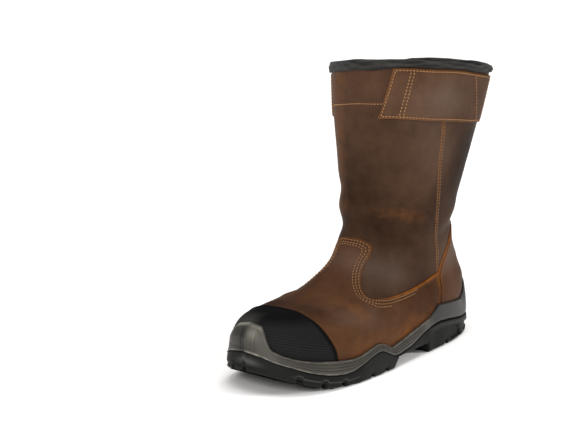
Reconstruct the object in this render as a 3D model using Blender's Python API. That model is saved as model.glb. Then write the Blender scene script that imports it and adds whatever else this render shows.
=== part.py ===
"""A pull-on work boot for the left foot, made of separate closed parts.

Sizes are in millimetres on the boot: x toward the outer side, s forward from
the back of the heel, z up from the floor. The finished parts are in metres,
toe along -Y, outer side along +X, +Z up.
"""
import bpy
import bmesh
import numpy as np

for old in list(bpy.data.objects):
    bpy.data.objects.remove(old, do_unlink=True)

GAP = 0.3                # clearance left between neighbouring parts
LEATHER = 2.2            # wall of the upper with its lining
OVERLAY = 1.4            # vamp, toe cap and counter stock
TAB = 2.5                # pull tab stock
INSOLE = 3.5             # insole board
SOLE_LIP = 2.2           # midsole wall at its top edge
TOE_LIP = 2.4            # more wall on the tab over the toe
FLANGE = 2.0             # outsole wall beside the midsole
TOE_SPRING = 18.0        # lift of the sole under the toe tip
SPRING_START = 235.0     # station where the sole starts to lift
SOLE_LENGTH = 312.0
HEEL_FRONT = 109.0       # heel breast
TREAD_BACK = 174.0       # rear end of the forefoot tread
ARCH_RISE = 9.5          # clearance under the waist
TREAD_DEPTH = 4.0
S_MIDDLE = 144.86        # station that stands over the origin
X_MIDDLE = 0.5
CUT_REACH = 120.0        # cutters reach this far to each side
CUT_BELOW = -6.0         # and this far under the floor
FOREFOOT = 10.0          # outsole thickness under the forefoot
HEEL_BUILD = 6.0         # more under the heel
HEEL_RAMP = 30.0         # length over which the heel thickness comes in
WAIST_BUILD = 2.0        # more under the waist
WAIST_MIDDLE = 140.0
WAIST_REACH = 25.0
ROW_RISE = 12.0          # height between the lowest two rows of the upper
RINGS = 21               # sections up the upper
HALF = 21                # points on half a section

# One row per section of the upper, from the feather line to the collar.
UPPER_COLUMNS = ("front_s", "front_z", "back_s", "back_z", "outer", "inner",
                 "widest", "front_power", "back_power", "waist", "swing", "sag")
UPPER_ROWS = (
    (303, 36, 10, 32, 52.5, 46.5, 0.70, 2.70, 3.0, 0.15, 7, 17),
    (306, 48, 7, 47, 55, 49, 0.69, 2.70, 3.0, 0.14, 7, 14),
    (298, 61, 6, 60, 52, 46, 0.66, 2.50, 3.0, 0.10, 7, 10),
    (279, 66, 8, 72, 47, 42, 0.61, 2.20, 2.8, 0.07, 6, 6),
    (247, 67, 11, 83, 45, 40, 0.56, 1.85, 2.6, 0.04, 5, 3),
    (217, 75, 15, 95, 44, 40, 0.52, 1.75, 2.5, 0.02, 3, 1),
    (190, 89, 20, 107, 44, 41, 0.50, 1.80, 2.4, 0.00, 0, 0),
    (171, 107, 23, 120, 45, 42, 0.50, 1.90, 2.3, 0.00, 0, 0),
    (160, 131, 23, 136, 48, 45, 0.50, 2.00, 2.2, 0.00, 0, 0),
    (156, 165, 16, 160, 53, 52, 0.50, 2.10, 2.2, 0.00, 0, 0),
    (156, 205, 6, 192, 59, 58, 0.50, 2.20, 2.2, 0.00, 0, 0),
    (157, 245, -7, 228, 64, 63, 0.50, 2.20, 2.2, 0.00, 0, 0),
    (158, 285, -20, 266, 68, 67, 0.50, 2.20, 2.2, 0.00, 0, 0),
)
SOLE_ROW = (SOLE_LENGTH, 0, 0, 0, 60, 54, 0.70, 2.68, 3.09, 0.15, 7.5, 0)

# Heights of the outsole joint and of the midsole top, over the toe spring, at
# stations counted along the outline from the toe centre (0) to the heel (1).
LINE_COLUMNS = ("station", "joint", "top")
LINE_ROWS = (
    (0.000, 19.5, 44.2), (0.042, 18.0, 42.8), (0.056, 17.5, 38.0),
    (0.065, 17.0, 31.0), (0.075, 16.0, 24.5), (0.100, 15.0, 21.8),
    (0.137, 14.2, 21.8), (0.175, 13.2, 23.2), (0.218, 13.0, 24.6),
    (0.258, 13.0, 25.0), (0.298, 13.9, 24.0), (0.333, 17.2, 24.6),
    (0.365, 21.0, 27.8), (0.391, 23.3, 30.2), (0.412, 22.6, 29.6),
    (0.438, 17.6, 25.6), (0.462, 13.4, 20.6), (0.486, 13.0, 22.2),
    (0.546, 15.5, 27.0), (0.604, 23.0, 31.6), (0.640, 25.8, 34.5),
    (0.662, 26.4, 40.0), (0.684, 27.0, 45.0), (0.737, 25.0, 42.6),
    (0.795, 21.5, 40.0), (0.831, 19.8, 38.2), (0.858, 18.9, 43.0),
    (0.880, 18.6, 52.0), (0.916, 18.5, 54.5), (1.000, 18.5, 55.0),
)
TOE_TURN = 0.014         # the toe tab stands this far toward the inner side
TOE_STATIONS = 9         # even stations over the toe
TOE_END = 0.1
LONGEST_STEP = 0.036     # widest gap between stations on a part
RIB_FRACTIONS = (0.0, 0.20, 0.28, 0.36, 0.54, 0.62, 0.70, 1.0)
RIB_DEPTHS = (0.0, 0.0, 0.9, 0.0, 0.0, 0.9, 0.0, 0.0)

# Edges of the overlays in the side view, as (s, z).
CAP_EDGE = ((262, 90), (262, 69), (266, 64), (263, 52), (257.5, 39), (252, 26), (250, 5))
VAMP_EDGE = ((210, 117.8), (166, 117.6), (162, 115.4), (160.4, 110.2), (164.2, 102.8),
             (172, 95), (184.2, 81), (189.8, 72.2), (188.2, 68), (180.5, 66.8), (151, 66),
             (121, 67.6), (80.5, 73.5))
COUNTER_EDGE = ((-40, 126), (20, 119), (46, 108), (64, 92), (78.5, 74), (82.5, 59),
                (87, 43.7), (90, 5))
TAB_EDGE = ((148.5, 276.2), (152.5, 232.5), (34, 218.5), (22, 262.4))
INNER_TAB_EDGE = ((127.5, 273.6), (131.5, 230.2), (20, 216.9), (8, 260.4))
TAB_CLEAR = 8.0          # a tab is cut on one side only, this far from the middle

# Section of the collar binding: (out from the leather, up from its rim).
BINDING_SECTION = ((0.3, -7.0), (2.3, -7.0), (2.8, -3.5), (2.2, 0.6), (0.6, 2.0),
                   (-2.7, 2.0), (-4.4, 0.6), (-4.4, -6.2), (-2.5, -6.2), (-2.5, 0.3),
                   (0.3, 0.3))

# Tread channels: centre x, centre s, size across, size along, turn in degrees.
CHANNEL_COLUMNS = ("x", "s", "across", "along", "turn")
CHANNEL_ROWS = (
    (46, 184.5, 44, 6, 12), (47, 207, 44, 6, 12), (46, 247, 44, 6, 14),
    (40, 268, 40, 6, 18), (34, 291, 36, 6, 30),
    (-44, 190, 44, 6, -12), (-46, 215, 44, 6, -12), (-46, 240, 44, 6, -14),
    (-44, 264, 40, 6, -18), (-42, 287, 36, 6, -30),
    (-3, 232, 7, 104, 0),
    (40, 76, 50, 6, 0), (40, 44, 50, 6, 0), (-40, 76, 50, 6, 0), (-40, 44, 50, 6, 0),
    (0, 10, 6, 36, 0),
)


def row_between(position, table):
    """Row of a table at a position from 0 to 1, on a smooth curve through its rows."""
    rows = np.asarray(table, float)
    last = len(rows) - 1
    place = min(max(position, 0.0), 1.0) * last
    low = min(int(place), last - 1)
    part = place - low
    one, two = rows[low], rows[low + 1]
    zero = rows[low - 1] if low else 2 * one - two
    three = rows[low + 2] if low + 2 <= last else 2 * two - one
    return 0.5 * (2 * one + (two - zero) * part
                  + (2 * zero - 5 * one + 4 * two - three) * part ** 2
                  + (3 * one - zero - 3 * two + three) * part ** 3)


def half_section(row, side, fractions):
    """Points on half a section, at fractions of its length from front to back."""
    cell = dict(zip(UPPER_COLUMNS, row))
    turn = np.linspace(0, np.pi, 300)
    along, across = np.cos(turn), np.sin(turn)
    power = np.where(along >= 0, cell["front_power"], cell["back_power"])
    reach = np.abs(along) ** (2 / power)
    wide = np.abs(across) ** (2 / power)
    widest = cell["widest"]
    place = np.where(along >= 0, widest + (1 - widest) * reach, widest - widest * reach)
    width = cell["outer"] if side > 0 else cell["inner"]
    pinch = cell["waist"] * (0.4 if side > 0 else 1.0)
    x = side * wide * width * (1 - pinch * np.exp(-((place - 0.40) / 0.17) ** 2))
    x = x - cell["swing"] * np.clip((place - 0.5) / 0.5, 0, 1) ** 2
    s = cell["back_s"] + (cell["front_s"] - cell["back_s"]) * place
    z = cell["back_z"] + (cell["front_z"] - cell["back_z"]) * place
    z = z - cell["sag"] * np.sin(np.pi * place ** 1.35)
    points = np.stack([x, s, z], 1)
    length = np.r_[0, np.cumsum(np.linalg.norm(np.diff(points, axis=0), axis=1))]
    wanted = np.asarray(fractions) * length[-1]
    return np.stack([np.interp(wanted, length, points[:, k]) for k in range(3)], 1)


def section(row, fractions):
    """A closed section: front centre, outer side, back centre, inner side."""
    outer = half_section(row, 1, fractions)
    inner = half_section(row, -1, fractions)
    return np.concatenate([outer, inner[::-1][1:-1]])


def form(offset, positions=None, drop=0.0):
    """Sections of the upper moved out by an offset; the lowest one also moves down."""
    if positions is None:
        positions = np.linspace(0, 1, RINGS)
    fractions = np.linspace(0, 1, HALF)
    grid = np.array([section(row_between(p, UPPER_ROWS), fractions) for p in positions])
    rise = np.gradient(grid, axis=0)
    round_ = np.roll(grid, -1, 1) - np.roll(grid, 1, 1)
    normal = np.cross(rise, round_)
    normal /= np.linalg.norm(normal, axis=2)[:, :, None]
    outward = ((grid - grid.mean(1, keepdims=True)) * normal).sum()
    grid = grid + normal * (offset if outward > 0 else -offset)
    grid[0, :, 2] -= drop
    return grid


def spring(s):
    """Lift of the sole at a station."""
    return TOE_SPRING * np.clip((s - SPRING_START) / (SOLE_LENGTH - SPRING_START), 0, 1) ** 2


def stations():
    """Even stations over the toe, then those of the table with more put between."""
    known = [TOE_END] + [row[0] for row in LINE_ROWS if row[0] > TOE_END]
    out = list(np.linspace(0, TOE_END, TOE_STATIONS))
    for a, b in zip(known, known[1:]):
        count = int(np.ceil((b - a) / LONGEST_STEP - 1e-6))
        out += [a + (b - a) * (k + 1) / count for k in range(count)]
    return np.array(out)


def sole_frame():
    """Outline points of the sole, inward directions, and heights of its two lines."""
    fractions = stations()
    line = section(SOLE_ROW, fractions)
    step = np.roll(line, -1, 0) - np.roll(line, 1, 0)
    inward = np.stack([-step[:, 1], step[:, 0]], 1)
    inward /= np.linalg.norm(inward, axis=1)[:, None]
    middle = np.array([0.0, 160.0])
    if ((middle - line[:, :2]) * inward).sum() < 0:
        inward = -inward
    signed = np.r_[fractions, -fractions[::-1][1:-1]]
    turn = TOE_TURN * np.clip(1 - np.abs(signed) / (2 * TOE_END), 0, 1)
    place = np.abs(signed + turn)
    rows = np.array(LINE_ROWS)
    lift = spring(line[:, 1])
    joint = np.interp(place, rows[:, 0], rows[:, 1]) + lift
    top = np.interp(place, rows[:, 0], rows[:, 2]) + lift
    return line[:, :2], inward, joint, top, lift, place


def form_inset(point, inward, height, grid):
    """How far inside the sole outline the upper stands at a height."""
    across = np.array([-inward[1], inward[0]])
    depths, heights = [], []
    for ring in grid:
        flat = ring[:, :2] - point
        a = flat @ inward
        b = flat @ across
        b2, a2, z2 = np.roll(b, -1), np.roll(a, -1), np.roll(ring[:, 2], -1)
        hit = (b * b2 <= 0) & (np.abs(b - b2) > 1e-9) & (np.minimum(a, a2) < 90)
        if hit.any():
            part = b[hit] / (b[hit] - b2[hit])
            depth = a[hit] + part * (a2[hit] - a[hit])
            best = int(np.argmin(depth))
            depths.append(depth[best])
            level = ring[hit, 2] + part * (z2[hit] - ring[hit, 2])
            heights.append(level[best])
    order = np.argsort(heights)
    return float(np.interp(height, np.array(heights)[order], np.array(depths)[order]))


def world(points):
    """Boot millimetres to metres in the part's frame."""
    p = np.asarray(points, float)
    return np.stack([p[:, 0] - X_MIDDLE, S_MIDDLE - p[:, 1], p[:, 2]], 1) * 0.001


def ladder(ring, start):
    """Faces that close a section by rungs from its outer to its inner side."""
    count = len(ring)
    half = count // 2
    faces = [(start, start + 1, start + count - 1)]
    for j in range(1, half - 1):
        faces.append((start + j, start + j + 1, start + count - j - 1, start + count - j))
    faces.append((start + half - 1, start + half, start + half + 1))
    return faces


def collection(name, hidden):
    group = bpy.data.collections.new(name)
    bpy.context.scene.collection.children.link(group)
    group.hide_render = hidden
    return group


PARTS = collection("work_boot", False)
CUTTERS = collection("cutters", True)


def add(name, points, faces, colour=None, rough=0.6):
    """A closed mesh object; one without a colour is a cutter."""
    mesh = bpy.data.meshes.new(name)
    mesh.from_pydata([tuple(p) for p in world(points)], [], faces)
    work = bmesh.new()
    work.from_mesh(mesh)
    bmesh.ops.recalc_face_normals(work, faces=work.faces)
    work.to_mesh(mesh)
    work.free()
    item = bpy.data.objects.new(name, mesh)
    if colour is None:
        CUTTERS.objects.link(item)
        item.hide_render = True
        item.display_type = "WIRE"
        return item
    PARTS.objects.link(item)
    material = bpy.data.materials.new(name + "_material")
    material.use_nodes = True
    shader = material.node_tree.nodes["Principled BSDF"]
    shader.inputs["Base Color"].default_value = (*colour, 1)
    shader.inputs["Roughness"].default_value = rough
    material.diffuse_color = (*colour, 1)
    mesh.materials.append(material)
    return item


def stack(rings, close=True, loop=False):
    """Faces that join sections in order; the ends are closed or joined to each other."""
    count = len(rings[0])
    faces = []
    last = len(rings) if loop else len(rings) - 1
    for k in range(last):
        low, high = k * count, (k + 1) % len(rings) * count
        for j in range(count):
            n = (j + 1) % count
            faces.append((low + j, low + n, high + n))
            faces.append((low + j, high + n, high + j))
    if close and not loop:
        faces += ladder(rings[0], 0)
        faces += ladder(rings[-1], (len(rings) - 1) * count)
    return np.concatenate(rings), faces


def prism(name, outline, low=-CUT_REACH, high=CUT_REACH):
    """A cutter with a side-view outline carried across the boot."""
    count = len(outline)
    points = [(x, s, z) for x in (low, high) for s, z in outline]
    faces = [tuple(range(count)), tuple(range(2 * count - 1, count - 1, -1))]
    for j in range(count):
        n = (j + 1) % count
        faces.append((j, n, count + n, count + j))
    return add(name, points, faces)


def boxes(name, rows):
    """Tread channels as one cutter of separate boxes that follow the toe spring."""
    points, faces = [], []
    for row in rows:
        cell = dict(zip(CHANNEL_COLUMNS, row))
        turn = np.radians(cell["turn"])
        start = len(points)
        for level in (CUT_BELOW, TREAD_DEPTH):
            for i, j in ((-1, -1), (1, -1), (1, 1), (-1, 1)):
                a, b = i * cell["across"] / 2, j * cell["along"] / 2
                x = cell["x"] + a * np.cos(turn) - b * np.sin(turn)
                s = cell["s"] + a * np.sin(turn) + b * np.cos(turn)
                points.append((x, s, level + float(spring(s))))
        faces += [tuple(start + k for k in f) for f in
                  ((0, 1, 2, 3), (4, 5, 6, 7), (0, 1, 5, 4), (1, 2, 6, 5),
                   (2, 3, 7, 6), (3, 0, 4, 7))]
    return add(name, np.array(points), faces)


def cut(item, cutter, operation="DIFFERENCE"):
    step = item.modifiers.new(cutter.name, "BOOLEAN")
    step.operation = operation
    step.solver = "EXACT"
    step.object = cutter


def smooth(outline, count):
    """A curve through the points of an open edge, with more points put between."""
    steps = (len(outline) - 1) * count
    return [tuple(row_between(k / steps, outline)) for k in range(steps + 1)]


def shrink(outline, amount):
    """An open edge moved back along s, for a clearance beside a neighbour."""
    return [(s + amount, z) for s, z in outline]


# Upper: one hollow wall, open at the collar and underneath.
outside = form(0.0)
inside = form(-LEATHER)
points, faces = stack(list(outside) + list(inside[::-1]), loop=True)
add("upper", points, faces, (0.115, 0.062, 0.036), 0.55)

# Cutters from the upper's own form.
skin = add("skin", *stack(list(form(GAP, drop=8.0))))
cavity = add("cavity", *stack(list(form(2 * GAP + OVERLAY, drop=GAP))))

# Overlays: the form between two offsets, cut to its outline in the side view.
cap_edge = smooth(CAP_EDGE, 2)
counter_edge = smooth(COUNTER_EDGE, 2)
throat = list(VAMP_EDGE[:1]) + smooth(VAMP_EDGE[1:], 2)
vamp_region = throat + shrink(counter_edge[8:], GAP) + shrink(cap_edge[::-1], -GAP)
cap_region = [(340, 5), (340, 90)] + cap_edge
counter_region = counter_edge + [(-40, 5)]
for name, region, colour, rough in (
        ("vamp", vamp_region, (0.13, 0.066, 0.036), 0.5),
        ("toe_cap", cap_region, (0.012, 0.012, 0.013), 0.6),
        ("heel_counter", counter_region, (0.12, 0.06, 0.034), 0.5)):
    item = add(name, *stack(list(form(GAP + OVERLAY))), colour, rough)
    cut(item, skin)
    cut(item, prism(name + "_region", region), "INTERSECT")
for name, edge, low, high in (("pull_tab_lateral", TAB_EDGE, TAB_CLEAR, CUT_REACH),
                              ("pull_tab_medial", INNER_TAB_EDGE, -CUT_REACH, -TAB_CLEAR)):
    item = add(name, *stack(list(form(GAP + TAB))), (0.12, 0.062, 0.036), 0.55)
    cut(item, skin)
    cut(item, prism(name + "_region", edge, low, high), "INTERSECT")

# Collar binding: one section carried round the rim.
rim = outside[-1]
rise = outside[-1] - outside[-2]
rise /= np.linalg.norm(rise, axis=1)[:, None]
outward = form(1.0)[-1] - rim
binding = [rim + outward * a + rise * b for a, b in BINDING_SECTION]
points, faces = stack(binding, loop=True)
add("collar_binding", points, faces, (0.014, 0.014, 0.015), 0.85)

# Insole: lies on the midsole floor inside the upper.
clear = -(LEATHER + 2 * GAP)
step_up = INSOLE / ROW_RISE / (len(UPPER_ROWS) - 1)
points, faces = stack(list(form(clear, np.array([0.0, step_up]))))
add("insole", points, faces, (0.03, 0.03, 0.032), 0.9)

# Sole: the outsole rises as a flange outside the midsole, which carries the cup.
line, inward, joint, top, lift, place = sole_frame()
grid = form(0.0, np.linspace(0, 0.45, 40))
ramp = np.clip((HEEL_FRONT + 20 - line[:, 1]) / HEEL_RAMP, 0, 1)
waist = np.clip(1 - np.abs(line[:, 1] - WAIST_MIDDLE) / WAIST_REACH, 0, 1)
base = FOREFOOT + lift + HEEL_BUILD * ramp + WAIST_BUILD * waist


def sole_ring(inset, height):
    flat = line + inward * np.asarray(inset).reshape(-1, 1)
    return np.column_stack([flat, np.broadcast_to(height, len(line))])


zero = np.zeros(len(line))
lip = np.array([form_inset(p, n, z, grid) for p, n, z in zip(line, inward, top)])
wall = 2 * GAP + OVERLAY + SOLE_LIP + TOE_LIP * np.clip(2 - place / 0.045, 0, 1)
lip = np.clip(lip - wall, 0.2, None)
ribbed = np.clip((place - 0.07) / 0.03, 0, 1) * np.clip((0.62 - place) / 0.03, 0, 1)
rings = [sole_ring(zero + FLANGE + GAP, base + GAP),
         sole_ring(zero + FLANGE + GAP, joint + GAP)]
for part, depth in zip(RIB_FRACTIONS, RIB_DEPTHS):
    level = joint + GAP + (top - joint - GAP) * part
    stand = np.array([form_inset(p, n, z, grid) for p, n, z in zip(line, inward, level)])
    inset = np.minimum(lip * part ** 2, np.maximum(stand - wall, 0))
    rings.append(sole_ring(inset + depth * ribbed, level))
feather = form(0.0)[0][:HALF][::-1]
floor = np.interp(line[:, 1], feather[:, 1], feather[:, 2])
rings.append(sole_ring(lip + SOLE_LIP + 3.5, top))
rings.append(sole_ring(zero + 20.0, floor + 4.0))
midsole = add("midsole", *stack(rings), (0.075, 0.077, 0.08), 0.55)
cut(midsole, cavity)

rings = [sole_ring(zero + 2.5, lift), sole_ring(zero + 0.4, lift + 3.0),
         sole_ring(zero, lift + 8.0), sole_ring(zero + 0.2, joint),
         sole_ring(zero + FLANGE, joint), sole_ring(zero + FLANGE, base)]
outsole = add("outsole", *stack(rings), (0.014, 0.014, 0.015), 0.65)
arch = ((HEEL_FRONT, CUT_BELOW), (HEEL_FRONT + 2, ARCH_RISE - 2), (HEEL_FRONT + 8, ARCH_RISE),
        (TREAD_BACK - 22, ARCH_RISE), (TREAD_BACK - 4, ARCH_RISE - 3), (TREAD_BACK + 1, CUT_BELOW))
cut(outsole, prism("arch", arch))
cut(outsole, boxes("tread", CHANNEL_ROWS))
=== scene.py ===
"""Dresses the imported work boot: leather, rubber, foam, binding and thread.

Shapes are worked out in boot millimetres, as in the part: x toward the outer
side, s forward from the back of the heel, z up. place() turns them to metres.
"""
import bpy
import bmesh
import numpy as np
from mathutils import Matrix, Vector, kdtree


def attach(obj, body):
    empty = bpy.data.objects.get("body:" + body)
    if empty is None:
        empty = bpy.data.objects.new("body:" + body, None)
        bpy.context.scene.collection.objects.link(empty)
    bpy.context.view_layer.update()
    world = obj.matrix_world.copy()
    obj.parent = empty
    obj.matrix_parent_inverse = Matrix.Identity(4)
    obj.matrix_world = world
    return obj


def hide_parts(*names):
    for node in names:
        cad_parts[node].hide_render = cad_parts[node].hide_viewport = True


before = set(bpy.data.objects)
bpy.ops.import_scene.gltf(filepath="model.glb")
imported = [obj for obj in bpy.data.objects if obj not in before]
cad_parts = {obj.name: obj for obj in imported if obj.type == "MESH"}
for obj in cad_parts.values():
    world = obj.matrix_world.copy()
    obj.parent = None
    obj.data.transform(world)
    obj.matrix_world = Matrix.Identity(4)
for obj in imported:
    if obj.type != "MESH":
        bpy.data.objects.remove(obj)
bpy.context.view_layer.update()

# The boot's own sizes, in millimetres where nothing else is said, as in the part.
GAP = 0.3                # clearance left between neighbouring parts
LEATHER = 2.2            # wall of the upper with its lining
OVERLAY = 1.4            # vamp, toe cap and counter stock
TAB = 2.5                # pull tab stock
SOLE_LIP = 2.2           # midsole wall at its top edge
TOE_LIP = 2.4            # more wall on the tab over the toe
FLANGE = 2.0             # outsole wall beside the midsole
TOE_SPRING = 18.0        # lift of the sole under the toe tip
SPRING_START = 235.0     # station where the sole starts to lift
SOLE_LENGTH = 312.0
HEEL_FRONT = 109.0       # heel breast
TREAD_BACK = 174.0       # rear end of the forefoot tread
ARCH_RISE = 9.5          # clearance under the waist
TREAD_DEPTH = 4.0
S_MIDDLE = 144.86        # station that stands over the origin
X_MIDDLE = 0.5
TOE_TURN = 0.014         # the toe tab stands toward the inner side, by this share of the outline
TOE_END = 0.1            # half the share over which that turn fades out

# Sizes of fine and soft forms, in millimetres.
INNER_TAB = 1.2          # the inner tab lies pressed flat
EDGE_ROLL = 1.1          # rounding of an overlay's cut edge
EDGE_CUTS = (0.0, 0.35, 1.0)     # distances from its edge where an overlay gets a row of points
BUTT_GAP = 0.15          # the vamp stops this short of the panels beside it
CAP_MORE = 0.4           # the toe cap stands this much over the leather panels
RIM_WIDTH = 3.2          # raised rim along the back of the toe cap
RIM_HEIGHT = 0.6
EDGE_LIFT = 0.1          # an overlay's edge starts this far over the leather below it
SEAM_PULL = 0.35         # a row of stitches pulls an overlay in by this much
HEEL_THIN = 1.4          # the midsole wall is this much thinner round the heel
RIB_DEPTH = 0.8          # grooves between the midsole's ribs
STREAK_DEPTH = 0.9       # creases over the toe tab, each by its own share of this
CUP_ROUND = 1.1          # rounding of the midsole's top edge
CUP_INSIDE = ((0.6, 0.2), (2.4, 3.0))    # points behind that edge: in past the lip, down
FOOT_OUT = 0.6           # the midsole's lower edge stands out along the forefoot
FOOT_IN = 1.8            # and draws in round the heel
TREAD_ROUND = 2.4        # rounding of the outsole's lower edge
UNDER_LIP = 1.1          # the outsole's top edge draws in under the midsole
WALL_BULGE = 0.6         # the outsole's wall swells by this much at half its height
TOE_GROOVE = 0.8         # groove round the front of the outsole
LEDGE_DEPTH = 1.2        # step under the ledge along the forefoot
STRIP_DEPTH = 0.9        # step under the strip along the top of the heel
PANEL_DEPTH = 1.5        # panels sunk into the heel below that strip
INSOLE_DIP = 0.8         # the insole is this much lower along its middle
STITCH_PITCH = 3.2
STITCH_REACH = 1.2       # half the length of a stitch
THREAD_RADIUS = 0.55     # drawn a little thicker than real thread so that it shows

# The soft collar rises along its outer side, as (station, reach, rise), and at its back, and
# drops along its inner side. That sets in between two heights.
COLLAR_RISES = ((142, 20, 2.4), (98, 36, 2.8))
COLLAR_BACK = (-20, 16, 2.5)
COLLAR_DROP = 6.5
COLLAR_SOFT = (195, 240)

# One row per section of the upper, from the feather line to the collar. The waist is a pinch
# at a place along the section, shallower on the outer side, and the sag lies ahead of the middle.
WAIST_PLACE = 0.40
WAIST_WIDTH = 0.17
OUTER_WAIST = 0.4
SAG_SKEW = 1.35
UPPER_COLUMNS = ("front_s", "front_z", "back_s", "back_z", "outer", "inner",
                 "widest", "front_power", "back_power", "waist", "swing", "sag")
UPPER_ROWS = (
    (303, 36, 10, 32, 52.5, 46.5, 0.70, 2.70, 3.0, 0.15, 7, 17),
    (306, 48, 7, 47, 55, 49, 0.69, 2.70, 3.0, 0.14, 7, 14),
    (298, 61, 6, 60, 52, 46, 0.66, 2.50, 3.0, 0.10, 7, 10),
    (279, 66, 8, 72, 47, 42, 0.61, 2.20, 2.8, 0.07, 6, 6),
    (247, 67, 11, 83, 45, 40, 0.56, 1.85, 2.6, 0.04, 5, 3),
    (217, 75, 15, 95, 44, 40, 0.52, 1.75, 2.5, 0.02, 3, 1),
    (190, 89, 20, 107, 44, 41, 0.50, 1.80, 2.4, 0.00, 0, 0),
    (171, 107, 23, 120, 45, 42, 0.50, 1.90, 2.3, 0.00, 0, 0),
    (160, 131, 23, 136, 48, 45, 0.50, 2.00, 2.2, 0.00, 0, 0),
    (156, 165, 16, 160, 53, 52, 0.50, 2.10, 2.2, 0.00, 0, 0),
    (156, 205, 6, 192, 59, 58, 0.50, 2.20, 2.2, 0.00, 0, 0),
    (157, 245, -7, 228, 64, 63, 0.50, 2.20, 2.2, 0.00, 0, 0),
    (158, 285, -20, 266, 68, 67, 0.50, 2.20, 2.2, 0.00, 0, 0),
)
SOLE_ROW = (SOLE_LENGTH, 0, 0, 0, 60, 54, 0.70, 2.68, 3.09, 0.15, 7.5, 0)

# Heights of the outsole joint and the midsole top over the toe spring, at
# stations along the outline from the toe centre (0) to the heel centre (1).
LINE_ROWS = (
    (0.000, 19.5, 44.2), (0.042, 18.0, 42.8), (0.056, 17.5, 38.0),
    (0.065, 17.0, 31.0), (0.075, 16.0, 24.5), (0.100, 15.0, 21.8),
    (0.137, 14.2, 21.8), (0.175, 13.2, 23.2), (0.218, 13.0, 24.6),
    (0.258, 13.0, 25.0), (0.298, 13.9, 24.0), (0.333, 17.2, 24.6),
    (0.365, 21.0, 27.8), (0.391, 23.3, 30.2), (0.412, 22.6, 29.6),
    (0.438, 17.6, 25.6), (0.462, 13.4, 20.6), (0.486, 13.0, 22.2),
    (0.546, 15.5, 27.0), (0.604, 23.0, 31.6), (0.640, 25.8, 34.5),
    (0.662, 26.4, 40.0), (0.684, 27.0, 45.0), (0.737, 25.0, 42.6),
    (0.795, 21.5, 40.0), (0.831, 19.8, 38.2), (0.858, 18.9, 43.0),
    (0.880, 18.6, 52.0), (0.916, 18.5, 54.5), (1.000, 18.5, 55.0),
)

# Edges of the overlays in the side view, as (s, z).
CAP_EDGE = ((262, 90), (262, 69), (266, 64), (263, 52), (257.5, 39), (252, 26), (250, 5))
VAMP_EDGE = ((210, 117.8), (180, 117.8), (166, 117.6), (162, 115.4), (160.4, 110.2),
             (164.2, 102.8), (172, 95), (178.6, 88), (184.2, 81), (189.8, 72.2), (188.2, 68),
             (180.5, 66.8), (151, 66), (121, 67.6), (80.5, 73.5))
COUNTER_EDGE = ((-40, 126), (20, 119), (46, 108), (64, 92), (78.5, 74), (82.5, 59),
                (87, 43.7), (90, 5))
TAB_EDGE = ((148.5, 278.2), (153.6, 231.2), (34, 218.5), (22, 264.0))
INNER_TAB_EDGE = ((127.5, 273.6), (131.5, 230.2), (20, 216.9), (8, 260.4))

# Seams and rows of stitches on the leather, in the side view.
SIDE_SEAM = ((104, 240), (102.5, 225), (98.6, 180), (90.5, 123), (82.7, 96), (80, 72))
SEAM_RIDGE = 0.55        # height of the side seam
SEAM_TOP = 226           # height where it runs under the tab
SEAM_ROWS = 1.7          # its stitches run this far to each side of it
SEAM_FOOT = 74           # and from this height up
SEAM_END = (34, 219)     # to a line through this point that rises forward
SEAM_END_SLOPE = 0.1135
COLLAR_SEAM = 0.9185     # height of the row under the collar, as a share of the upper's table
COLLAR_SEAM_ENDS = (150, 139)        # its last stations on the outer and the inner side
VAMP_ROWS = ((2.6, 119), (5.4, 125), (8.2, 166))     # inset from the throat, last station
TAB_INSETS = (2.6, 2.6, 2.6, 2.1)    # at a tab's front, bottom, back and top
TAB_SEAMS = (((134.6, 280), (141.4, 232)), ((137.0, 280), (143.8, 232)), ((64, 275), (49, 218)))
TAB_BOW = 1.2            # rise of the outer tab's top edge between its corners
SEAM_OIL = 0.6           # how much oil the thread of the side seam has taken up
VAMP_OIL = 0.3           # and that of the throat

# Section of the collar binding: (out from the leather, up from its rim).
BINDING_SECTION = ((0.2, -6.4), (1.5, -6.8), (2.5, -6.0), (2.9, -4.0), (2.8, -1.4),
                   (2.0, 1.0), (0.8, 2.0), (-1.2, 2.2), (-2.9, 1.7), (-4.2, 0.3),
                   (-4.6, -2.6), (-4.3, -5.6), (-3.3, -6.6), (-2.4, -6.4))

# Tread channels: centre x, centre s, size across, size along, turn in degrees.
CHANNEL_ROWS = (
    (46, 184.5, 44, 6, 12), (47, 207, 44, 6, 12), (46, 247, 44, 6, 14),
    (40, 268, 40, 6, 18), (34, 291, 36, 6, 30),
    (-44, 190, 44, 6, -12), (-46, 215, 44, 6, -12), (-46, 240, 44, 6, -14),
    (-44, 264, 40, 6, -18), (-42, 287, 36, 6, -30),
    (-3, 232, 7, 104, 0),
    (40, 76, 50, 6, 0), (40, 44, 50, 6, 0), (-40, 76, 50, 6, 0), (-40, 44, 50, 6, 0),
    (0, 10, 6, 36, 0),
    (-25.6, 310, 4, 14, 0), (-11.2, 311, 4, 14, 0),
)

# Soft folds of the worn leather, in the side view: from, to, width, height.
FOLD_COLUMNS = ("s0", "z0", "s1", "z1", "width", "height")
FOLD_ROWS = (
    (168, 128, 120, 118, 9, -2.24),
    (160, 146, 105, 132, 10, 1.96),
    (158, 163, 112, 152, 9, -1.54),
    (40, 118, 88, 106, 8, -1.82),
    (28, 138, 80, 128, 9, 1.54),
    (120, 100, 150, 82, 10, -1.96),
    (140, 205, 60, 180, 20, -1.26),
    (60, 235, 120, 205, 18, 0.98),
    (236, 60, 214, 48, 8, -1.12),
    (225, 66, 204, 54, 8, 0.98),
    (36, 118, 22, 80, 17, -2.8),
)

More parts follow.
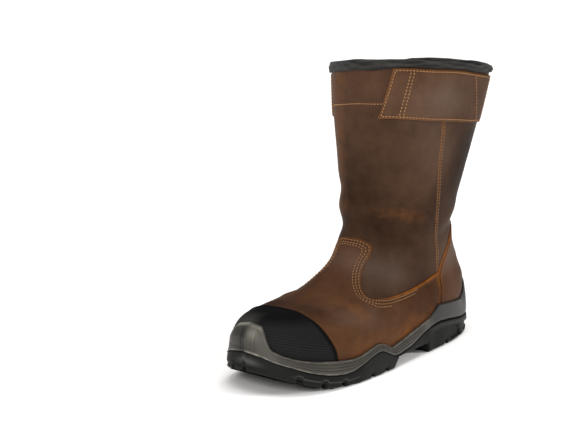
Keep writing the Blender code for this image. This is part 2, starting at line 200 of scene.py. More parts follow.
# Broad places in the oiled leather: s, z, reach along, reach up, amount. A tone is paler (+) or
# darker (-), by the leather's oil and by painted light and painted shade; bloom is grey wax where
# the leather is bent, together with a painted sheen; and a rub is tan.
PLACE_COLUMNS = ("s", "z", "along", "up", "amount")
TONE_AND_PAINTED_LIGHT_ROWS = (
    (156, 170, 15, 60, -0.60), (52, 188, 34, 56, -0.95), (128, 140, 40, 20, -0.50),
    (140, 120, 24, 14, -0.50), (110, 205, 36, 46, 0.40), (152, 262, 30, 16, 0.30),
    (250, 69, 13, 6, -0.80), (222, 52, 20, 10, 0.25), (215, 36, 34, 14, 0.10),
    (55, 84, 22, 22, 0.60),
)
BLOOM_AND_SHEEN_ROWS = (
    (154, 86, 24, 14, 0.58), (178, 98, 12, 14, 0.35), (205, 56, 20, 9, 0.35),
    (236, 59, 14, 6, 0.40), (58, 84, 18, 22, 0.55), (106, 205, 30, 34, 0.30),
    (104, 248, 30, 18, 0.72),
)
RUB_ROWS = ((140, 40, 12, 7, 0.14), (153, 30, 13, 5, 0.12))

SOLE_POINTS = 421        # points on half the sole's outline

# Grooves of the midsole's ribs, as shares of its height, and creases over the toe tab, as
# (signed station, share of their depth).
RIB_GROOVES = (0.30, 0.54, 0.77)
TOE_STREAKS = ((-0.021, 0.7), (-0.013, 0.45), (0.011, 0.4), (0.022, 0.8), (0.044, 0.5))

WAVE_LENGTH = 0.31416    # length of one wave of Blender's wave texture at a scale of 1


def ramp(value, start, end):
    """0 up to a start, 1 past an end and a straight line between; it may run downward."""
    return np.clip((value - start) / (end - start), 0, 1)


def between(value, low, high, fade):
    """1 between two values, fading out just inside each."""
    return ramp(value, low, low + fade) * ramp(value, high, high - fade)


def bell(value, middle, width):
    """1 at a middle, falling off softly to both sides."""
    return np.exp(-((value - middle) / width) ** 2)


def unit(rows):
    """Directions made one long."""
    return rows / (np.linalg.norm(rows, axis=-1, keepdims=True) + 1e-12)


def travel(points):
    """Distance covered along a line, at each of its points."""
    return np.r_[0, np.cumsum(np.linalg.norm(np.diff(points, axis=0), axis=1))]


def read_at(distance, length, rows):
    """Rows of values along a line, read at other distances along it."""
    return np.stack([np.interp(distance, length, column) for column in rows.T], 1)


def row_between(position, table):
    """Row of a table at a position from 0 to 1, on a smooth curve through its rows."""
    rows = np.asarray(table, float)
    last = len(rows) - 1
    at = min(max(position, 0.0), 1.0) * last
    low = min(int(at), last - 1)
    part = at - low
    one, two = rows[low], rows[low + 1]
    zero = rows[low - 1] if low else 2 * one - two
    three = rows[low + 2] if low + 2 <= last else 2 * two - one
    return 0.5 * (2 * one + (two - zero) * part
                  + (2 * zero - 5 * one + 4 * two - three) * part ** 2
                  + (3 * one - zero - 3 * two + three) * part ** 3)


def smooth(outline, count):
    """A curve through the points of an open edge, with more points put between."""
    steps = (len(outline) - 1) * count
    return np.array([row_between(k / steps, outline) for k in range(steps + 1)])


def half_section(row, side, fractions, fine=1000):
    """Points on half a section, at fractions of its length from front to back."""
    cell = dict(zip(UPPER_COLUMNS, row))
    turn = np.linspace(0, np.pi, fine)
    along, across = np.cos(turn), np.sin(turn)
    power = np.where(along >= 0, cell["front_power"], cell["back_power"])
    reach = np.abs(along) ** (2 / power)
    wide = np.abs(across) ** (2 / power)
    widest = cell["widest"]
    at = np.where(along >= 0, widest + (1 - widest) * reach, widest - widest * reach)
    width = cell["outer"] if side > 0 else cell["inner"]
    pinch = cell["waist"] * (OUTER_WAIST if side > 0 else 1.0)
    x = side * wide * width * (1 - pinch * bell(at, WAIST_PLACE, WAIST_WIDTH))
    x = x - cell["swing"] * ramp(at, 0.5, 1.0) ** 2
    s = cell["back_s"] + (cell["front_s"] - cell["back_s"]) * at
    z = cell["back_z"] + (cell["front_z"] - cell["back_z"]) * at
    z = z - cell["sag"] * np.sin(np.pi * at ** SAG_SKEW)
    points = np.stack([x, s, z], 1)
    length = travel(points)
    return read_at(fractions * length[-1], length, points)


def section(row, fractions):
    """A closed section: front centre, outer side, back centre, inner side."""
    outer = half_section(row, 1, fractions)
    inner = half_section(row, -1, fractions)
    return np.concatenate([outer, inner[::-1][1:-1]])


def normals(grid):
    """Outward directions of a grid of closed sections."""
    rise = np.gradient(grid, axis=0)
    round_ = np.roll(grid, -1, 1) - np.roll(grid, 1, 1)
    out = unit(np.cross(rise, round_))
    if ((grid - grid.mean(1, keepdims=True)) * out).sum() < 0:
        out = -out
    return out


def segment_gap(points, start, end):
    """Way in the side view from a segment's nearest point, and how far along it that point is."""
    a, b = np.asarray(start, float), np.asarray(end, float)
    d = b - a
    along = np.clip(((points - a) @ d) / (d @ d + 1e-9), 0, 1)
    return points - (a + along[..., None] * d), along


def folds(grid):
    """Height of the soft folds over the lasted form."""
    total = np.zeros(grid.shape[:-1])
    for row in FOLD_ROWS:
        cell = dict(zip(FOLD_COLUMNS, row))
        gap, along = segment_gap(grid[..., 1:], (cell["s0"], cell["z0"]), (cell["s1"], cell["z1"]))
        fade = 0.35 + 0.65 * np.sin(np.pi * along)
        total += cell["height"] * fade * bell(np.linalg.norm(gap, axis=-1), 0, cell["width"])
    return total


def spread(grid, table):
    """Sum of the soft places of a table at each point."""
    total = np.zeros(grid.shape[:-1])
    for row in table:
        cell = dict(zip(PLACE_COLUMNS, row))
        along = bell(grid[..., 1], cell["s"], cell["along"])
        total += cell["amount"] * along * bell(grid[..., 2], cell["z"], cell["up"])
    return total


def lean(grid):
    """Lift of the soft collar: up along its outer side and at its back, down along its inner side."""
    x, s, z = np.moveaxis(grid, -1, 0)
    outer = ramp(x, 0, 30) * sum(rise * bell(s, at, reach) for at, reach, rise in COLLAR_RISES)
    inner = COLLAR_DROP * ramp(x, 0, -50) * ramp(s, 0, 50)
    at, reach, rise = COLLAR_BACK
    back = rise * bell(s, at, reach)
    return (outer - inner + back) * ramp(z, *COLLAR_SOFT)


def skin(low, high, rings, half):
    """The upper's outside with its folds, between two heights of the table."""
    fractions = np.linspace(0, 1, half)
    levels = np.linspace(low, high, rings)
    grid = np.array([section(row_between(p, UPPER_ROWS), fractions) for p in levels])
    out = normals(grid)
    base = grid + out * folds(grid)[..., None]
    base[..., 2] += lean(grid)
    return grid, out, base


def inside(points, outline):
    """Whether side-view points lie inside a closed outline."""
    s, z = points[..., 0], points[..., 1]
    odd = np.zeros(s.shape, bool)
    for (s0, z0), (s1, z1) in zip(outline, np.roll(outline, -1, 0)):
        crosses = (z0 > z) != (z1 > z)
        with np.errstate(divide="ignore", invalid="ignore"):
            at = s0 + (z - z0) * (s1 - s0) / (z1 - z0)
        odd ^= crosses & (s < at)
    return odd


def edge_gap(points, edge):
    """Distance from side-view points to an open edge."""
    gaps = [segment_gap(points, a, b)[0] for a, b in zip(edge, edge[1:])]
    return np.linalg.norm(gaps, axis=-1).min(0)


def edge_distance(grid, out, edge, closed):
    """Distance over the leather to an edge that is drawn in the side view."""
    flat = grid[..., 1:]
    best = np.full(flat.shape[:-1], 1e9)
    way = np.zeros(flat.shape)
    for a, b in zip(edge, np.roll(edge, -1, 0) if closed else edge[1:]):
        gap = segment_gap(flat, a, b)[0]
        size = np.linalg.norm(gap, axis=-1)
        near = size < best
        best[near] = size[near]
        way[near] = gap[near]
    facing = (unit(way) * out[..., 1:]).sum(-1)
    return best / np.sqrt(np.clip(1 - facing ** 2, 0.04, 1))


def place(points):
    """Boot millimetres to metres in the part's frame."""
    p = np.asarray(points, float)
    return np.stack([p[..., 0] - X_MIDDLE, S_MIDDLE - p[..., 1], p[..., 2]], -1) * 0.001


def linear(code):
    """A linear colour from an sRGB hex code."""
    parts = [int(code[k:k + 2], 16) / 255 for k in (1, 3, 5)]
    parts = [c / 12.92 if c <= 0.04045 else ((c + 0.055) / 1.055) ** 2.4 for c in parts]
    return (*parts, 1.0)


def connect(tree, item, inputs):
    """Gives each named input of a node a value, or links another node's output to it."""
    for name, value in inputs.items():
        if isinstance(value, bpy.types.NodeSocket):
            tree.links.new(value, item.inputs[name])
        else:
            item.inputs[name].default_value = value


def add_node(tree, kind, inputs=None, **settings):
    """Adds a node with its settings, values and links."""
    item = tree.nodes.new(kind)
    for name, value in settings.items():
        setattr(item, name, value)
    connect(tree, item, inputs or {})
    return item


def new_material(name):
    """A material with its tree and its shader."""
    material = bpy.data.materials.new(name)
    material.use_nodes = True
    tree = material.node_tree
    return material, tree, tree.nodes["Principled BSDF"]


def finish_piece(name, points, faces, material, nodes=(), values=None, uv=None):
    """A smooth piece in the part's frame that rides on the boot's only body."""
    mesh = bpy.data.meshes.new(name)
    mesh.from_pydata(place(points).tolist(), [], faces)
    mesh.materials.append(material)
    for key, data in (values or {}).items():
        layer = mesh.attributes.new(key, "FLOAT", "POINT")
        layer.data.foreach_set("value", np.asarray(data, np.float32).ravel())
    if uv is not None:
        layer = mesh.uv_layers.new(name="surface")
        index = np.empty(len(mesh.loops), np.int32)
        mesh.loops.foreach_get("vertex_index", index)
        layer.data.foreach_set("uv", np.asarray(uv, np.float32)[index].ravel())
    work = bmesh.new()
    work.from_mesh(mesh)
    bmesh.ops.recalc_face_normals(work, faces=work.faces)
    work.to_mesh(mesh)
    work.free()
    mesh.polygons.foreach_set("use_smooth", [True] * len(mesh.polygons))
    item = bpy.data.objects.new(name, mesh)
    bpy.context.scene.collection.objects.link(item)
    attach(item, "root")
    if nodes:
        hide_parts(*nodes)
    return item


def sheet_faces(rows, columns, wrap):
    """Quads of a grid; wrap joins its last column to its first."""
    faces = []
    last = columns if wrap else columns - 1
    for i in range(rows - 1):
        for j in range(last):
            n = (j + 1) % columns
            faces.append((i * columns + j, i * columns + n,
                          (i + 1) * columns + n, (i + 1) * columns + j))
    return faces


def sheet_piece(name, grid, wrap, material, nodes=(), values=None, uv=None):
    """A piece made of one grid of points."""
    faces = sheet_faces(*grid.shape[:2], wrap)
    uv = None if uv is None else uv.reshape(-1, 2)
    return finish_piece(name, grid.reshape(-1, 3), faces, material, nodes, values, uv)


# Materials.
def leather(name, dark, mid, tan, rough):
    """Oiled pull-up leather: waxy, dark where full of oil, tan where it is bent or rubbed; its marks
    also bring painted light, painted shade and a painted sheen.
    """
    material, tree, shader = new_material(name)
    where = add_node(tree, "ShaderNodeTexCoord").outputs["Object"]
    # The tone mark holds painted light and shade besides oil, the bloom mark a painted sheen besides
    # wax, and the crease mark painted shade.
    tone, bloom_and_sheen, wear, crease_and_painted_shade = (
        add_node(tree, "ShaderNodeAttribute", attribute_name=mark).outputs["Fac"]
        for mark in ("tone", "bloom_and_sheen", "wear", "crease_and_painted_shade"))
    # Clouds of 60 mm and flecks of 9 mm.
    cloud = add_node(tree, "ShaderNodeTexNoise", {
        "Vector": where, "Scale": 1 / 0.060, "Detail": 5.0, "Roughness": 0.55}).outputs["Fac"]
    fleck = add_node(tree, "ShaderNodeTexNoise", {
        "Vector": where, "Scale": 1 / 0.009, "Detail": 4.0, "Roughness": 0.65}).outputs["Fac"]
    both = add_node(tree, "ShaderNodeMath", {0: fleck, 1: 0.35, 2: cloud}, operation="MULTIPLY_ADD")
    shade = add_node(tree, "ShaderNodeMath", {
        0: tone, 1: 0.36, 2: both.outputs[0]}, operation="MULTIPLY_ADD")
    pale = add_node(tree, "ShaderNodeMapRange", {
        "Value": shade.outputs[0], "From Min": 0.26, "From Max": 1.09})
    # Grey-brown waxy bloom, which is also a painted sheen.
    waxy_sheen = add_node(tree, "ShaderNodeMath", {
        0: bloom_and_sheen, 1: cloud}, operation="MULTIPLY", use_clamp=True)
    rub = add_node(tree, "ShaderNodeMath", {0: wear, 1: fleck}, operation="MULTIPLY")
    patchy = add_node(tree, "ShaderNodeMapRange", {
        "Value": rub.outputs[0], "From Min": 0.04, "From Max": 0.62})
    # The near-black mixed in last is painted shade in creases.
    colour = linear(dark)
    for factor, over in ((pale.outputs["Result"], mid), (waxy_sheen.outputs[0], "#6f625a"),
                         (patchy.outputs["Result"], tan), (crease_and_painted_shade, "#1c0f08")):
        colour = add_node(tree, "ShaderNodeMix", {
            "Factor": factor, "A": colour, "B": linear(over)}, data_type="RGBA").outputs["Result"]
    gloss = add_node(tree, "ShaderNodeMapRange", {
        "Value": fleck, "From Min": 0.3, "From Max": 0.7,
        "To Min": rough - 0.07, "To Max": rough + 0.09})
    # Grain cells of 1.1 mm, coarser than the real 0.4 mm pores so that they show.
    pore = add_node(tree, "ShaderNodeTexVoronoi", {"Vector": where, "Scale": 1 / 0.0011})
    grain = add_node(tree, "ShaderNodeBump", {
        "Height": pore.outputs["Distance"], "Strength": 0.10, "Distance": 0.0003})
    swell = add_node(tree, "ShaderNodeBump", {
        "Height": fleck, "Strength": 0.16, "Distance": 0.0012, "Normal": grain.outputs["Normal"]})
    connect(tree, shader, {
        "Base Color": colour, "Roughness": gloss.outputs["Result"],
        "Normal": swell.outputs["Normal"], "IOR": 1.42, "Specular IOR Level": 0.04})
    return material


SHAFT_LEATHER = leather("oiled_leather_shaft", "#25170e", "#5b4232", "#8a5526", 0.50)
VAMP_LEATHER = leather("oiled_leather_vamp", "#2a160d", "#68462f", "#9a5a1e", 0.48)
TAB_LEATHER = leather("oiled_leather_tab", "#36241a", "#6b4e3a", "#94602f", 0.52)


def rubber(name, codes, rough, grit, strength, shine, coat):
    """Moulded rubber or foam: even colour with a fine mould grit that scatters the light. Its wear
    mark brings wear and painted highlights, its crease mark painted shade.
    """
    material, tree, shader = new_material(name)
    where = add_node(tree, "ShaderNodeTexCoord").outputs["Object"]
    # Dust in patches of 30 mm. The grit is about 1 mm, coarser than a mould's so that it shows.
    dust = add_node(tree, "ShaderNodeTexNoise", {
        "Vector": where, "Scale": 1 / 0.03, "Detail": 6.0, "Roughness": 0.6}).outputs["Fac"]
    # Wear mixes toward the pale third colour, mostly as painted highlights; the crease mark mixes
    # toward near-black as painted shade.
    wear, painted_shade = (add_node(tree, "ShaderNodeAttribute", attribute_name=mark).outputs["Fac"]
                   for mark in ("wear", "crease_and_painted_shade"))
    colour = linear(codes[0])
    for factor, over in ((dust, codes[1]), (wear, codes[2]), (painted_shade, "#0d0d0c")):
        colour = add_node(tree, "ShaderNodeMix", {
            "Factor": factor, "A": colour, "B": linear(over)}, data_type="RGBA").outputs["Result"]
    gloss = add_node(tree, "ShaderNodeMapRange", {
        "Value": dust, "To Min": rough - 0.08, "To Max": rough + 0.08})
    speck = add_node(tree, "ShaderNodeTexNoise", {
        "Vector": where, "Scale": 1 / grit, "Detail": 2.0})
    bump = add_node(tree, "ShaderNodeBump", {
        "Height": speck.outputs["Fac"], "Strength": strength, "Distance": 0.0004})
    connect(tree, shader, {
        "Base Color": colour, "Roughness": gloss.outputs["Result"],
        "Normal": bump.outputs["Normal"], "IOR": 1.5, "Specular IOR Level": shine,
        "Coat Weight": coat, "Coat Roughness": 0.3})
    return material


# The third colour of each is the pale of its painted highlights.
OUTSOLE_RUBBER = rubber("moulded_rubber_outsole", ("#131312", "#1f1f1e", "#5a5a58"),
                        0.55, 0.0012, 0.25, 0.09, 0.0)
MIDSOLE_FOAM = rubber("moulded_foam_midsole", ("#322f2b", "#5a564f", "#a09c90"),
                      0.48, 0.0010, 0.18, 0.22, 0.10)


def toe_rubber():
    """Moulded rubber toe: rows of raised studs 2.1 mm apart and a plain rim and top; painted shade on
    the top, painted highlights on the studded field and stud tops, and dust with a painted highlight
    on the inner front.
    """
    material, tree, shader = new_material("studded_rubber_toe_cap")
    where = add_node(tree, "ShaderNodeTexCoord").outputs["UV"]
    studded_field_lit, dust = (add_node(tree, "ShaderNodeAttribute", attribute_name=mark).outputs["Fac"]
                      for mark in ("wear", "tone"))
    stud = add_node(tree, "ShaderNodeTexVoronoi", {
        "Vector": where, "Scale": 1 / 2.1, "Randomness": 0.0}, voronoi_dimensions="2D")
    dome = add_node(tree, "ShaderNodeMapRange", {
        "Value": stud.outputs["Distance"], "From Min": 0.15, "From Max": 0.5,
        "To Min": 1.0, "To Max": 0.0}, interpolation_type="SMOOTHSTEP")
    raised_and_highlit = add_node(tree, "ShaderNodeMath", {
        0: dome.outputs["Result"], 1: studded_field_lit}, operation="MULTIPLY").outputs[0]
    bump = add_node(tree, "ShaderNodeBump", {
        "Height": raised_and_highlit, "Strength": 0.6, "Distance": 0.0005})
    # Painted shade on the plain top, painted highlights on the studded field and stud tops, and a pale
    # inner front of dust and painted highlight.
    colour = linear("#0a0a0a")
    for factor, over in ((studded_field_lit, "#181818"), (raised_and_highlit, "#2a2a2a"), (dust, "#3b3a37")):
        colour = add_node(tree, "ShaderNodeMix", {
            "Factor": factor, "A": colour, "B": linear(over)}, data_type="RGBA").outputs["Result"]
    connect(tree, shader, {
        "Base Color": colour, "Roughness": 0.62, "Normal": bump.outputs["Normal"],
        "Specular IOR Level": 0.04})
    return material


TOE_RUBBER = toe_rubber()


def textile(name, codes, step, rough):
    """Woven polyester: fine crossing ribs with a dull, slightly furry surface."""
    material, tree, shader = new_material(name)
    where = add_node(tree, "ShaderNodeTexCoord").outputs["UV"]
    # Ribs 1.2 or 1.6 mm apart, coarser than the real weave so that they show.
    one, two = (add_node(tree, "ShaderNodeTexWave", {
        "Vector": where, "Scale": WAVE_LENGTH / step, "Distortion": 0.6, "Detail": 1.0},
        bands_direction=way) for way in "XY")
    weave = add_node(tree, "ShaderNodeMath", {
        0: one.outputs["Fac"], 1: two.outputs["Fac"]}, operation="MULTIPLY")
    bump = add_node(tree, "ShaderNodeBump", {
        "Height": weave.outputs[0], "Strength": 0.45, "Distance": 0.0004})
    # On the binding the tone mark is painted light and shade of its crumples.
    crumple = add_node(tree, "ShaderNodeAttribute", attribute_name="tone")
    lit = add_node(tree, "ShaderNodeMath", {
        0: weave.outputs[0], 1: 0.4, 2: crumple.outputs["Fac"]}, operation="MULTIPLY_ADD",
        use_clamp=True)
    shade = add_node(tree, "ShaderNodeMix", {
        "Factor": lit.outputs[0], "A": linear(codes[0]), "B": linear(codes[1])}, data_type="RGBA")
    connect(tree, shader, {
        "Base Color": shade.outputs["Result"], "Roughness": rough,
        "Normal": bump.outputs["Normal"], "Specular IOR Level": 0.2, "Sheen Weight": 0.08})
    return material


BINDING_TEXTILE = textile("woven_polyester_binding", ("#0c0c0c", "#514f4b"), 1.2, 0.85)
LINING_TEXTILE = textile("woven_polyester_lining", ("#121212", "#2f2f2e"), 1.6, 0.9)


def thread():
    """Bonded polyester thread: slightly glossy and uneven in hue, dull where it has taken up oil."""
    material, tree, shader = new_material("bonded_polyester_thread")
    where = add_node(tree, "ShaderNodeTexCoord").outputs["Object"]
    # Its hue changes over 4 mm, a little more than the spacing of the stitches.
    hue = add_node(tree, "ShaderNodeTexNoise", {"Vector": where, "Scale": 1 / 0.004})
    oil = add_node(tree, "ShaderNodeAttribute", attribute_name="tone")
    colour = linear("#82532a")
    for factor, over in ((hue.outputs["Fac"], "#b28552"), (oil.outputs["Fac"], "#4a2d18")):
        colour = add_node(tree, "ShaderNodeMix", {
            "Factor": factor, "A": colour, "B": linear(over)}, data_type="RGBA").outputs["Result"]
    connect(tree, shader, {"Base Color": colour, "Roughness": 0.5})
    return material


THREAD = thread()


# Pieces cut from the skin.
def patch(name, out, base, field, height, material, node, marks):
    """A piece of the skin where a field is positive, raised by a height over its edge."""
    rows, columns = field.shape
    keep = field > -6.0      # cells just outside stay until the edge is cut
    index = -np.ones(field.shape, int)
    index[keep] = np.arange(keep.sum())
    data = {"edge": field, "nx": out[..., 0], "ny": out[..., 1], "nz": out[..., 2], **marks}
    work = bmesh.new()
    layers = {key: work.verts.layers.float.new(key) for key in data}
    verts = [work.verts.new(point) for point in base[keep]]
    for key, values in data.items():
        for vert, value in zip(verts, values[keep]):
            vert[layers[key]] = value
    for i in range(rows - 1):
        for j in range(columns):
            n = (j + 1) % columns
            corners = (index[i, j], index[i, n], index[i + 1, n], index[i + 1, j])
            if min(corners) >= 0:
                work.faces.new([verts[c] for c in corners])
    key = layers["edge"]
    for level in EDGE_CUTS:
        for edge in list(work.edges):
            a, b = edge.verts
            da, db = a[key] - level, b[key] - level
            if da * db < 0 and min(abs(da), abs(db)) > 1e-4:
                _, vert = bmesh.utils.edge_split(edge, a, da / (da - db))
                vert[key] = level
        for face in list(work.faces):
            on = [v for v in face.verts if abs(v[key] - level) <= 1e-4]
            if len(on) == 2 and not any(e.other_vert(on[0]) is on[1] for e in on[0].link_edges):
                bmesh.utils.face_split(face, on[0], on[1])
    gone = [f for f in work.faces if sum(v[key] for v in f.verts) / len(f.verts) < 0]
    bmesh.ops.delete(work, geom=gone, context="FACES")
    work.verts.index_update()
    points = np.array([v.co[:] for v in work.verts])
    cut = {k: np.array([v[layers[k]] for v in work.verts]) for k in data}
    normal = unit(np.stack([cut["nx"], cut["ny"], cut["nz"]], 1))
    faces = [[v.index for v in f.verts] for f in work.faces]
    work.free()
    points = points + normal * height(cut["edge"])[:, None]
    shown = {k: cut[k] for k in marks if k not in ("across", "up")}
    return finish_piece(name, points, faces, material, (node,), shown,
                        np.stack([cut["across"], cut["up"]], 1))


def rolled(thick, seams=(), rim=0.0):
    """Height of an overlay over the skin: a rounded edge, then full, pulled in at its seams."""
    def height(edge):
        part = ramp(edge, 0, EDGE_ROLL)
        rise = EDGE_LIFT + thick * np.sqrt(1 - (1 - part) ** 2)
        for seam in seams:
            rise = rise - SEAM_PULL * bell(edge, seam, 0.9)
        return rise + rim * ramp(edge, RIM_WIDTH + 0.4, RIM_WIDTH - 0.4) * part
    return height


def contour(field, level):
    """Lines on a wrapped grid where a field has a level, as rows of grid positions."""
    columns = field.shape[1]
    above = field > level
    links = {}
    right = np.roll(above, -1, 1)
    mixed = ((above[:-1] != above[1:]) | (above[:-1] != right[:-1]) | (above[1:] != right[1:]))

    def spot(i, j, way):
        """Grid position where the field has the level on one side of a cell."""
        a = field[i, j]
        b = field[i, (j + 1) % columns] if way == "across" else field[i + 1, j]
        part = (level - a) / (b - a)
        return (i, j + part) if way == "across" else (i + part, j)

    for i, j in zip(*np.nonzero(mixed)):
        n = (j + 1) % columns
        cuts = []
        if above[i, j] != above[i, n]:
            cuts.append((i, j, "across"))
        if above[i, n] != above[i + 1, n]:
            cuts.append((i, n, "up"))
        if above[i + 1, j] != above[i + 1, n]:
            cuts.append((i + 1, j, "across"))
        if above[i, j] != above[i + 1, j]:
            cuts.append((i, j, "up"))
        for a, b in zip(cuts[::2], cuts[1::2]):
            links.setdefault(a, []).append(b)
            links.setdefault(b, []).append(a)
    lines = []
    while links:
        ends = [k for k, v in links.items() if len(v) == 1]
        here = ends[0] if ends else next(iter(links))
        line = [here]
        while True:
            onward = links.pop(here)
            onward = [k for k in onward if k in links]
            if not onward:
                break
            here = onward[0]
            line.append(here)
        if len(line) > 3:
            lines.append(np.array([spot(*k) for k in line]))
    return lines


def sample(grid, spots):
    """Values of a wrapped grid at grid positions."""
    rows, columns = grid.shape[:2]
    i = np.clip(spots[:, 0].astype(int), 0, rows - 2)
    j = np.floor(spots[:, 1]).astype(int)
    p = (spots[:, 0] - i)[:, None]
    q = (spots[:, 1] - j)[:, None]
    n = (j + 1) % columns
    j = j % columns
    return ((grid[i, j] * (1 - q) + grid[i, n] * q) * (1 - p)
            + (grid[i + 1, j] * (1 - q) + grid[i + 1, n] * q) * p)


STITCHES = []            # (points, directions, normals, oil) of every row of stitches


def sew(line, normal, oil=0.0):
    """Lays stitches along a line on the leather; oil darkens their thread."""
    length = travel(line)
    if length[-1] < 2 * STITCH_PITCH:
        return
    even = np.linspace(0, length[-1], max(int(length[-1]), 8))
    normal = read_at(even, length, normal)
    line = read_at(even, length, line)
    ends = np.concatenate([[line[0]] * 3, line, [line[-1]] * 3])
    line = sum(ends[k:k + len(line)] for k in range(7)) / 7
    length = travel(line)
    count = int(length[-1] / STITCH_PITCH)
    middle = (np.arange(count) + 0.5) * length[-1] / count
    ahead = read_at(np.minimum(middle + STITCH_REACH, length[-1]), length, line)
    behind = read_at(np.maximum(middle - STITCH_REACH, 0), length, line)
    STITCHES.append((read_at(middle, length, line), ahead - behind,
                     read_at(middle, length, normal), np.full(count, oil)))


def stitch_mesh():
    """All stitches as one mesh of short rounded threads that dip into the leather."""
    centre, way, up, oil = (np.concatenate(column) for column in zip(*STITCHES))
    way = unit(way)
    up = unit(up - way * (up * way).sum(1)[:, None])
    side = np.cross(way, up)
    # Rings along a stitch: place as a share of its reach, share of its radius, lift.
    shape = ((-1.0, 0.45, -0.30), (-0.6, 0.9, 0.05), (0.0, 1.0, 0.18), (0.6, 0.9, 0.05),
             (1.0, 0.45, -0.30))
    turns = np.linspace(0, 2 * np.pi, 6, endpoint=False)
    rings = []
    for at, size, lift in shape:
        thick = THREAD_RADIUS * size
        for turn in turns:
            rings.append(centre + way * at * STITCH_REACH + up * (lift + thick * np.sin(turn))
                         + side * thick * np.cos(turn))
    points = np.stack(rings, 1)
    each = points.shape[1]
    faces = sheet_faces(len(shape), len(turns), True)
    faces += [tuple(range(len(turns))), tuple(range(each - len(turns), each))]
    every = [tuple(b * each + v for v in f) for b in range(len(points)) for f in faces]
    return points.reshape(-1, 3), every, np.repeat(oil, each)


def surface_lengths(grid):
    """Distances in millimetres across and up a grid, for patterns on it."""
    across = np.linalg.norm(np.roll(grid, -1, 1) - grid, axis=2)
    across = np.cumsum(np.roll(across, 1, 1), 1)
    half = grid.shape[1] // 2
    across = across - across[:, half:half + 1]
    up = np.linalg.norm(np.diff(grid, axis=0), axis=2)
    up = np.concatenate([np.zeros((1, grid.shape[1])), np.cumsum(up, 0)])
    return np.stack([across, up], -1)


# Upper: shaft and quarters outside, lining inside.
grid, out, base = skin(0.0, 1.0, 170, 181)
seam_line = smooth(SIDE_SEAM, 6)
seam = edge_distance(grid, out, seam_line, False)
ridge = SEAM_RIDGE * bell(seam, 0, 2.6) * (grid[..., 2] < SEAM_TOP)
outside = base + out * ridge[..., None]
# A tan band along the front ridge of the shaft: wear, and a painted highlight.
front_band_and_highlight = bell(grid[..., 0], -30, 14) * ramp(grid[..., 1], 105, 135)
wear = (0.40 * bell(seam, 0, 2.4) + 0.12 * np.clip(folds(grid), 0, 2)
        + 0.30 * front_band_and_highlight * ramp(grid[..., 2], 110, 150))
sheet_piece("shaft", outside, True, SHAFT_LEATHER, ("upper",),
            {"wear": wear, "tone": spread(grid, TONE_AND_PAINTED_LIGHT_ROWS), "bloom_and_sheen": spread(grid, BLOOM_AND_SHEEN_ROWS)})

lining_grid, lining_out, lining_base = skin(0.0, 1.0, 80, 81)
sheet_piece("lining", lining_base - lining_out * LEATHER, True, LINING_TEXTILE,
            uv=surface_lengths(lining_grid))

# Stitches on the shaft: two rows beside the side seam and one row round under the collar.
below_tab = grid[..., 2] < SEAM_END[1] + (grid[..., 1] - SEAM_END[0]) * SEAM_END_SLOPE
for side in (1, -1):
    sewn = (grid[..., 0] * side > 0) & below_tab & (grid[..., 2] > SEAM_FOOT)
    for shift in (-SEAM_ROWS, SEAM_ROWS):
        seam_s = np.interp(grid[..., 2], seam_line[::-1, 1], seam_line[::-1, 0]) + shift
        field = np.where(sewn, grid[..., 1] - seam_s, np.nan)
        for line in contour(np.nan_to_num(field, nan=50.0), 0.0):
            spots = sample(np.dstack([outside, field]), line)
            good = np.isfinite(spots[:, 3]) & (np.abs(spots[:, 3]) < 1)
            if good.sum() > 8:
                sew(spots[good, :3], sample(out, line)[good], SEAM_OIL)
level = int(round(COLLAR_SEAM * (len(grid) - 1)))
ring, ring_out = outside[level], out[level]
front = np.nonzero(ring[:, 1] > np.where(ring[:, 0] > 0, *COLLAR_SEAM_ENDS))[0]
front = front[np.argsort(np.where(front > len(ring) // 2, front - len(ring), front))]
sew(ring[front] + ring_out[front] * 0.1, ring_out[front])

# Overlays.
cap_edge = smooth(CAP_EDGE, 6)
counter_edge = smooth(COUNTER_EDGE, 6)
throat = smooth(VAMP_EDGE, 5)
vamp_back = counter_edge[24:]        # below the corner where the throat meets the counter
vamp_edges = np.concatenate([throat, vamp_back])
vamp_outline = np.concatenate([throat, vamp_back + (BUTT_GAP, 0), cap_edge[::-1] - (BUTT_GAP, 0)])
# The cap's outline closes ahead of the toe, and the counter's behind the heel.
cap_outline = np.vstack([(340, 5), (340, 90), cap_edge])
counter_outline = np.vstack([counter_edge, (-40, 5)])


def overlay(name, node, span, size, outline, material, height, marks, side=0):
    """An overlay cut from the skin to its outline; marks gives its wear, side keeps it to one side."""
    grid, out, base = skin(*span, *size)
    field = edge_distance(grid, out, outline, True)
    field = np.where(inside(grid[..., 1:], outline), field, -field)
    if side:
        field = np.where(grid[..., 0] * side > 0, field, -50.0)
    lengths = surface_lengths(grid)
    shown = {"tone": spread(grid, TONE_AND_PAINTED_LIGHT_ROWS), "bloom_and_sheen": spread(grid, BLOOM_AND_SHEEN_ROWS),
             "across": lengths[..., 0], "up": lengths[..., 1], **marks(grid, out, field)}
    patch(name, out, base, field, height, material, node, shown)
    return grid, out, base, field


def vamp_marks(grid, out, field):
    """Tan at the throat, wider along the side, dull beside the counter, and tan over the sole."""
    _, s, z = np.moveaxis(grid, -1, 0)
    away = edge_distance(grid, out, vamp_edges, False)
    back = ramp(s, 178, 138)
    low = ramp(z, 96, 80)
    heel = ramp(s, 98, 92) * ramp(z, 72, 56)
    sole = bell(z, 26, 18) * ramp(s, 256, 231)
    edge = (0.30 + 0.25 * low + 0.4 * back) * bell(away, 0, 0.9 + 0.4 * low + 1.5 * back)
    return {"wear": edge * (1 - 0.6 * heel) + 0.3 * np.clip(folds(grid), 0, 2)
            + (0.20 + 0.12 * back) * sole + spread(grid, RUB_ROWS)}


